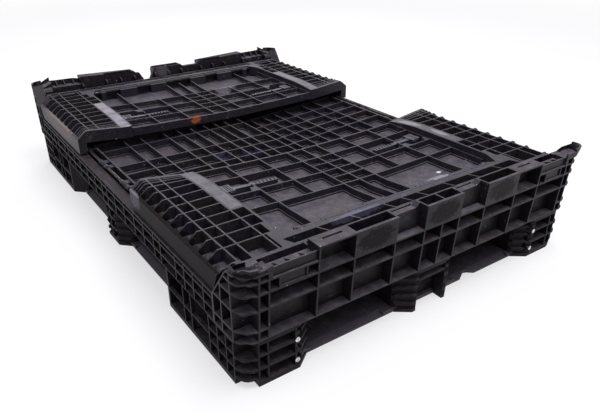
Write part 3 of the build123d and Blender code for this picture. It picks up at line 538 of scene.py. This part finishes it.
# %% Plastics of the end walls
POCKET_FLOOR, RIB_TOP = 0.262, 0.300                # heights between which the dust thins out
near_marks = [((-0.605, -0.520, 0.260), (0.030, 0.360, 0.060), "#1b1616", 0.85),   # painted shade on the left-facing flange
              ((-0.605, -0.275, 0.265), (0.012, 0.045, 0.026), "#a5a1a8", 0.5),    # scrape
              ((0.426, -0.330, 0.300), (0.014, 0.055, 0.014), "#a19da5", 0.5),     # pad
              ((0.433, -0.470, 0.300), (0.013, 0.040, 0.014), "#9c98a0", 0.5),
              ((0.000, -0.742, 0.300), (0.400, 0.010, 0.010), "#52525f", 0.4),     # painted highlight along the hinge barrel
              # a second, bluish painted highlight on the hinge barrel
              ((-0.190, -0.764, 0.300), (0.085, 0.013, 0.014), "#6c6c7e", 0.6),
              ((0.218, -0.672, 0.280), (0.055, 0.022, 0.080), "#a5a2a8", 0.5),     # door
              ((0.261, -0.631, 0.280), (0.008, 0.006, 0.080), "#e0dee2", 0.9)]
far_marks = [((-0.150, 0.248, 0.266), (0.020, 0.012, 0.014), "#b85a2e", 0.85),     # paint
             ((-0.605, 0.500, 0.270), (0.012, 0.190, 0.040), "#94887f", 0.7),      # flange
             ((0.150, 0.560, 0.270), (0.050, 0.030, 0.020), "#bdbac0", 0.4)]       # door

wall_plastic = {
    "near": black_polyethylene(
        "near_wall_polyethylene", "#1d1c26", "#231e20", "#6a636a", along=(0, 1, 0),
        low=(POCKET_FLOOR, RIB_TOP), dust_most=0.6, pads=(0.36, 0.22), chafed=0.35,
        scuffs=0.42, flecks=0.75, marks=near_marks),
    "far": black_polyethylene(
        "far_wall_polyethylene", "#1d1c26", "#231e20", "#6a636a", along=(0, 1, 0),
        low=(POCKET_FLOOR, RIB_TOP), dust_most=0.6, pads=(0.90, 0.40), chafed=0.4,
        scuffs=0.42, flecks=0.75, marks=far_marks)}

# %% [markdown]
# ## Side walls and latches
#
# Between the end walls the folded side walls show their close lattice, with white drips
# and bluish scrapes from what was dropped on them; the scrapes are pale enough to be a
# painted highlight too. The latches are small smooth mouldings, a little bluer and shinier
# than the doors they slide in.

# %% Plastics of the side walls and latches
lattice_marks = [((-0.010, -0.139, 0.245), (0.007, 0.014, 0.080), "#d2cfd4", 0.85),   # drips
                 ((-0.015, -0.065, 0.245), (0.010, 0.010, 0.080), "#b9b7c2", 0.7),
                 ((-0.104, -0.084, 0.245), (0.050, 0.030, 0.080), "#5d5f75", 0.5),    # bluish scrapes, also a painted highlight
                 ((-0.204, -0.060, 0.245), (0.030, 0.030, 0.080), "#5d5f75", 0.5)]
lattice_plastic = black_polyethylene(
    "side_wall_polyethylene", "#1c1c26", "#221d1e", "#625b61", along=(0, 1, 0), dust_most=0.6,
    low=(0.20, 0.235), chafed=0.35, flecks=0.7, marks=lattice_marks)
latch_plastic = black_polyethylene(
    "latch_polyethylene", "#22242f", "#24232b", "#63616b", rough=0.34, dust_most=0.3,
    chafed=0.5, scuff="#9a9ba8", sheen=0.4)

# %% [markdown]
# ## Rubbed edges and their painted highlight
#
# The rims of the ribs are what hands and loads touch, so they are grey and not black. Their
# grey is also a painted highlight, which stands in for the light that a rounded edge
# catches. The Bevel modifier further on puts these two finishes on the rounded edges: the
# lighter one on the walls, doors, latches, end rails and runner boards, and the darker one
# on the feet, side rails and deck.

# %% Plastics of the rubbed edges, with their painted highlight
pale_rim_wear_and_highlight = black_polyethylene("pale_edge_wear_and_highlight", "#38343f", "#504a52", "#8a848d", rough=0.4,
                                  scuffs=0.5, scuff="#bdb7c0", chafed=0.9)
dim_rim_wear_and_highlight = black_polyethylene("dark_edge_wear_and_highlight", "#2b272c", "#3f3838", "#6f696d", rough=0.5,
                               scuffs=0.5, scuff="#a39da4", chafed=0.8)

# %% [markdown]
# ## The runner boards
#
# The boards under the feet are painted lighter toward their outer edge, to a bluish grey
# that is painted light: the light that reaches in under the deck, and the sheen along
# that edge. It starts as the same plastic. Then the colour that goes into the shader is
# led through one more Mix node, whose factor rises toward the outer edge of each board.

# %% The runner boards' painted edge light
END_EDGE, SIDE_EDGE = (0.765, 0.835), (0.500, 0.565)     # where the painted light starts and is full
EDGE_LIGHT_SHARE = 0.5                                           # how strong the painted light is then
runner_plastic = black_polyethylene("runner_polyethylene", "#151318", "#1c1718", "#5a5459",
                                    along=(0, 1, 0), scuffs=0.6, chafed=0.5)
tree = runner_plastic.node_tree
place = add(tree, "ShaderNodeTexCoord").outputs["Object"]
axes = add(tree, "ShaderNodeSeparateXYZ", {0: place}).outputs
# worn here is the painted light, rising toward each board's outer edge
worn = 0.0
for axis, (start, full) in (("Y", END_EDGE), ("X", SIDE_EDGE)):
    out = add(tree, "ShaderNodeMath", {0: axes[axis]}, operation="ABSOLUTE")
    toward_lit_edge = add(tree, "ShaderNodeMapRange", {"Value": out, "From Min": start,
                                                 "From Max": full},
                    interpolation_type="SMOOTHSTEP")
    worn = add(tree, "ShaderNodeMath", {0: toward_lit_edge, 1: worn}, operation="MAXIMUM")
worn = add(tree, "ShaderNodeMath", {0: worn, 1: EDGE_LIGHT_SHARE}, operation="MULTIPLY")
shader = tree.nodes["Principled BSDF"]
plain = shader.inputs["Base Color"].links[0].from_socket
lit_edge_colour = add(tree, "ShaderNodeMix", {FACTOR: worn, FIRST: plain, SECOND: linear("#635f68")},
               data_type="RGBA")
tree.links.new(lit_edge_colour.outputs[2], shader.inputs["Base Color"])
print(runner_plastic.name, "now has", len(tree.nodes), "nodes")

# %% [markdown]
# ## Steel
#
# The hinge rods are cold-drawn steel, dulled to a dark grey. The rivets in the corner feet
# are zinc plated and still bright. Both are true metals, so their colour sits in the
# reflection, and they keep the shader's own index of refraction. Spots 6 mm across stand
# for the dull patches, and the same noise gives them a little relief.

# %% Steel finishes
SPOT = 6                                            # mm across


def worn_steel(name, bright, dull, rough):
    """Steel of two colours, rougher where it is dull."""
    material = empty_material(name)
    tree = material.node_tree
    place = add(tree, "ShaderNodeTexCoord").outputs["Object"]
    spots = add(tree, "ShaderNodeTexNoise", {"Vector": place, "Scale": per_metre(SPOT),
                                             "Detail": 5.0})
    spread = add(tree, "ShaderNodeMapRange", {"Value": spots, "From Min": 0.4,
                                              "From Max": 0.62},
                 interpolation_type="SMOOTHSTEP")
    colour = add(tree, "ShaderNodeMix", {FACTOR: spread, FIRST: linear(bright),
                                         SECOND: linear(dull)}, data_type="RGBA")
    roughness = add(tree, "ShaderNodeMapRange", {"Value": spread, "To Min": rough,
                                                 "To Max": rough + 0.25},
                    interpolation_type="SMOOTHSTEP")
    bump = add(tree, "ShaderNodeBump", {"Strength": 0.2, "Distance": 0.0002, "Height": spots})
    shader = add(tree, "ShaderNodeBsdfPrincipled",
                 {"Base Color": colour, "Metallic": 1.0, "Roughness": roughness,
                  "Normal": bump})
    add(tree, "ShaderNodeOutputMaterial", {"Surface": shader})
    print(name, len(tree.nodes), "nodes")
    return material


rod_steel = worn_steel("drawn_steel", "#5e5c5c", "#35302e", 0.5)
rivet_steel = worn_steel("zinc_plated_steel", "#e2e2e0", "#a7a6a2", 0.25)

# %% [markdown]
# ## Moulded edges
#
# No moulded rib has a knife edge: its corners are rounded about a millimetre, and years
# of rubbing turn them grey. A Bevel modifier gives both at once. It rounds each sharp
# edge, and puts a second, lighter material on the new faces, which is rubbing and a painted
# highlight in one. The CAD mesh comes as loose patches of triangles, so Weld first joins
# them and a planar Decimate clears the seams between triangles in one plane.

# %% Soften and paint the CAD parts
EDGE_ROUND = 0.0009
MERGE_WITHIN = 0.00002
ONE_PLANE, SHARP = radians(1.0), radians(40)


def soften(piece, plastic, edge):
    """Gives a part its plastic, rounded edges, and the rubbed finish with its painted highlight
    on them.
    """
    piece.data.materials.clear()
    piece.data.materials.append(plastic)
    piece.data.materials.append(edge)
    weld = piece.modifiers.new("join", "WELD")
    weld.merge_threshold = MERGE_WITHIN
    flat = piece.modifiers.new("flats", "DECIMATE")
    flat.decimate_type = "DISSOLVE"
    flat.angle_limit = ONE_PLANE
    bevel = piece.modifiers.new("edges", "BEVEL")
    bevel.width, bevel.segments = EDGE_ROUND, 2
    bevel.limit_method, bevel.angle_limit = "ANGLE", SHARP
    # the new faces get the edge finish: rubbing and a painted highlight
    bevel.material = 1


finishes = {"end_rail": (rail_plastic, pale_rim_wear_and_highlight), "side_rail": (side_plastic, dim_rim_wear_and_highlight),
            "foot": (foot_plastic, dim_rim_wear_and_highlight), "runner": (runner_plastic, pale_rim_wear_and_highlight),
            "deck": (deck_plastic, dim_rim_wear_and_highlight), "side_wall": (lattice_plastic, pale_rim_wear_and_highlight)}
for name, piece in frame["nodes"].items():
    if "rod" in name or name == "foot_rivets":
        piece.data.materials.clear()
        piece.data.materials.append(rod_steel if "rod" in name else rivet_steel)
        continue
    for start, (plastic, edge) in finishes.items():
        if name.startswith(start):
            soften(piece, plastic, edge)
print("painted", len(frame["nodes"]), "CAD parts")

# %% [markdown]
# ## How the folded walls have sunk
#
# A folded end wall lies on little more than its hinge and its two flanges. The strip along
# its free edge has sunk beside the doorway, and the middle of the door has sunk with its
# latches. A Lattice or a Simple Deform modifier could bend them, but neither follows a
# profile that was measured at uneven places. So each bend is a function that moves a whole
# array of points. share is how much of the full bend a part gets.

# %% Sunk walls and doors
FREE_EDGE = 0.248                                   # |Y| of a folded wall's free edge
SINK_REACH = 0.14                                   # how far the sunk strip reaches from it
WALL_X = [0.400, 0.418, 0.444, 0.476, 0.513, 0.543, 0.571, 0.605]
WALL_SINK = [0.0155, 0.0150, 0.0130, 0.008, 0.003, -0.001, -0.004, -0.004]
DOOR_HALF, DOOR_SINK = 0.402, 0.013
DOOR_FADE = ([0, 0.36, 0.46], [1.0, 0.85, 0.0])     # from the free edge to the door's hinge


def ramp(value, start, stop):
    """0 at start and 1 at stop, straight between them and held outside."""
    return np.clip((value - start) / (stop - start), 0, 1)


def sunk_wall(places, share):
    """The strip along a wall's free edge drops beside the doorway."""
    fade = ramp(np.abs(places[:, 1]) - FREE_EDGE, SINK_REACH, 0) ** 1.5
    places[:, 2] -= share * fade * np.interp(np.abs(places[:, 0]), WALL_X, WALL_SINK)


def sunk_door(places, share):
    """A door and its latches sink along the middle, and not at the hinge."""
    fade = np.interp(np.abs(places[:, 1]) - FREE_EDGE, *DOOR_FADE)
    across = np.clip(1 - (np.abs(places[:, 0]) / DOOR_HALF) ** 1.6, 0, 1)
    places[:, 2] -= share * DOOR_SINK * fade * across


print("walls sunk by up to", 1000 * WALL_SINK[0], "mm, doors by", 1000 * DOOR_SINK, "mm")

# %% [markdown]
# ## How the corners are knocked and worn
#
# Stacking and knocks have bent the near corners: the left ear is worn down, its lip is
# wavy and its shelves are chewed into ripples, the right ear is flared out, and the right
# foot's lower corner is ground away. At the far end the lips beside the doorway have been
# pushed up to the height of the rim. Sine waves give the ripples, because they are smooth
# and the same each time.

# %% Bent rails and feet
CHEWED = (0.555, 0.585), (0.825, 0.855)             # each corner's wear starts at the first
LEFT_EAR = (0.50, 0.57), (0.80, 0.85)               # of two distances from the middle and
RIGHT_EAR = (0.545, 0.595), (0.80, 0.86)            # is full at the second, along X and
GROUND = (0.55, 0.61), (0.83, 0.89)                 # along Y
EAR_HEIGHT = 0.312, 0.342
EAR_DROP, EAR_FLARE = 0.012, (0.008, 0.006, 0.002)  # down, and out in X, out in Y, and up
RIPPLE, WAVE = (0.0024, 0.0020), (0.0035, 0.0025)   # half the height of each two sine waves
LIP_RAISE = 0.017
GROUND_OFF, GROUND_UP = 0.016, 0.004                # inward in X and Y, and up


def toward(across, along, corner):
    """From 0 to 1 toward a corner, for distances from the middle along X and Y."""
    return ramp(across, *corner[0]) * ramp(along, *corner[1])


def chewed(x, y, z):
    """Ripples about 30 mm apart in the shelves round the near left corner."""
    ripple = RIPPLE[0] * np.sin(x * 210 + z * 130) + RIPPLE[1] * np.sin(y * 190 - z * 170)
    return toward(-x, -y, CHEWED) * ripple


def chewed_foot(places, share):
    """The near left foot's shelves are rippled, and its underside is flat."""
    x, y, z = places.T
    places[:, 2] += share * chewed(x, y, z) * ramp(z, 0, 0.03)


def battered_rail(places, share):
    """The near rail: left ear worn down over a wavy lip, right ear flared out."""
    x, y, z = places.T
    top = ramp(z, *EAR_HEIGHT)
    left, right = toward(-x, -y, LEFT_EAR), toward(x, -y, RIGHT_EAR)
    wave = WAVE[0] * np.sin(x * 95.0 + 0.6) + WAVE[1] * np.sin(y * 140.0)
    places[:, 2] += share * chewed(x, y, z)
    places[:, 2] += share * top * (left * (wave - EAR_DROP) + right * EAR_FLARE[2])
    places[:, 0] += share * top * right * EAR_FLARE[0]
    places[:, 1] -= share * top * right * EAR_FLARE[1]


def raised_lip(places, share):
    """The far rail's lips are pushed up to its rim, and take the webs beside them along."""
    x, y, z = np.abs(places.T)
    lip = ramp(x, 0.403, 0.407) * ramp(x, 0.536, 0.528)
    lift = ramp(z, 0.302, 0.325) * ramp(z, 0.346, 0.338)
    places[:, 2] += share * LIP_RAISE * lip * lift * (y > 0.835)


def worn_foot(places, share):
    """The near right foot's outer lower corner is ground away."""
    x, y, z = places.T
    wear = share * toward(x, -y, GROUND) * ramp(z, 0.05, 0)
    places[:, 0] -= GROUND_OFF * wear
    places[:, 1] += GROUND_OFF * wear
    places[:, 2] += GROUND_UP * wear


print("left ear down by", 1000 * EAR_DROP, "mm, far lips up by", 1000 * LIP_RAISE, "mm")

# %% [markdown]
# ## Bent copies
#
# The CAD parts stay as they are, so each bent part is a copy of one, and stands for it. Its
# triangles are merged and its edges rounded by the same modifiers, which are applied here.
# A flat face has no points between its corners, so it can't bend. Bisect cuts it into
# bands first, closer together where the bend is sharper.

# %% Cut and bend a copy
cad_wall = frame["nodes"]["end_wall_near"].data
print("end_wall_near comes as", len(cad_wall.polygons), "triangles on",
      len(cad_wall.vertices), "points")


def cut_across(axis, places):
    """Bisects the active mesh at each place along an axis, in edit mode."""
    normal = [0, 0, 0]
    normal[axis] = 1
    bpy.ops.object.mode_set(mode="EDIT")
    for place in places:
        bpy.ops.mesh.select_all(action="SELECT")
        bpy.ops.mesh.bisect(plane_co=[place * n for n in normal], plane_no=normal)
    bpy.ops.object.mode_set(mode="OBJECT")


def bent_copy(node, kind, plastic, edge, bend, share=1.0, cuts=((), (), ())):
    """A bent copy of one CAD part that stands for it. kind says how it is bent, and cuts
    holds the places to cut it at along X, Y and Z."""
    source = frame["nodes"][node]
    piece = bpy.data.objects.new(kind + "_" + node, source.data.copy())
    bpy.context.scene.collection.objects.link(piece)
    bpy.ops.object.select_all(action="DESELECT")
    bpy.context.view_layer.objects.active = piece
    piece.select_set(True)
    soften(piece, plastic, edge)
    for modifier in [m.name for m in piece.modifiers]:
        bpy.ops.object.modifier_apply(modifier=modifier)
    for axis, places in enumerate(cuts):
        cut_across(axis, places)
    points = np.empty(len(piece.data.vertices) * 3)
    piece.data.vertices.foreach_get("co", points)
    points = points.reshape(-1, 3)
    bend(points, share)
    piece.data.vertices.foreach_set("co", points.ravel())
    piece.data.update()
    piece.select_set(False)
    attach(piece, source["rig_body"])
    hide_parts(node)
    print(piece.name, len(piece.data.polygons), "faces")


# %% [markdown]
# ## Both end walls, with their doors and latches
#
# The near wall has sunk the most. The far one has the same shape at seven tenths of the
# depth. A door and its latches get the same bend, so that they stay together, and each
# copy rides on the body of the part it stands for, so the joints still move it.

# %% The sunk end walls
wall_cuts = [sign * x for x in WALL_X[1:-1] for sign in (-1, 1)]
door_cuts = [round(0.08 * i, 3) for i in range(-4, 5)]
latch_cuts = [sign * x for x in (0.24, 0.28, 0.32, 0.36, 0.40) for sign in (-1, 1)]
for end, side, share in (("near", -1, 1.0), ("far", 1, 0.7)):
    strip_cuts = [side * (FREE_EDGE + d) for d in (0.015, 0.035, 0.06, 0.09, 0.13)]
    hinge_cuts = [side * (FREE_EDGE + d) for d in (0.36, 0.385, 0.41, 0.435, 0.46)]
    bent_copy("end_wall_" + end, "sunk", wall_plastic[end], pale_rim_wear_and_highlight, sunk_wall, share,
              cuts=(wall_cuts, strip_cuts, ()))
    bent_copy("drop_door_" + end, "sunk", wall_plastic[end], pale_rim_wear_and_highlight, sunk_door, share,
              cuts=(door_cuts, hinge_cuts, ()))
    for hand in ("left", "right"):
        bent_copy("latch_" + end + "_" + hand, "sunk", latch_plastic, pale_rim_wear_and_highlight, sunk_door,
                  share, cuts=(latch_cuts, (), ()))

# %% [markdown]
# ## The battered rails and feet
#
# The near rail is cut finely round its two corners, and the feet only where they bend. The
# far rail's lips move as they are, because they stay straight, so it needs no cuts.

# %% The battered rails and feet
left_cuts = [-0.59, -0.575, -0.56, -0.545, -0.53, -0.515]
bent_copy("end_rail_near", "bent", rail_plastic, pale_rim_wear_and_highlight, battered_rail,
          cuts=(left_cuts + [-0.5, 0.545, 0.57, 0.59], [-0.80, -0.82, -0.84, -0.86, -0.875],
                [0.312, 0.325, 0.335]))
bent_copy("end_rail_far", "bent", rail_plastic, pale_rim_wear_and_highlight, raised_lip)
bent_copy("foot_near_left", "worn", foot_plastic, dim_rim_wear_and_highlight, chewed_foot,
          cuts=(left_cuts, [-0.83, -0.845, -0.86, -0.875], ()))
bent_copy("foot_near_right", "worn", foot_plastic, dim_rim_wear_and_highlight, worn_foot,
          cuts=([0.55, 0.58], [-0.83, -0.86], [0.025, 0.05]))
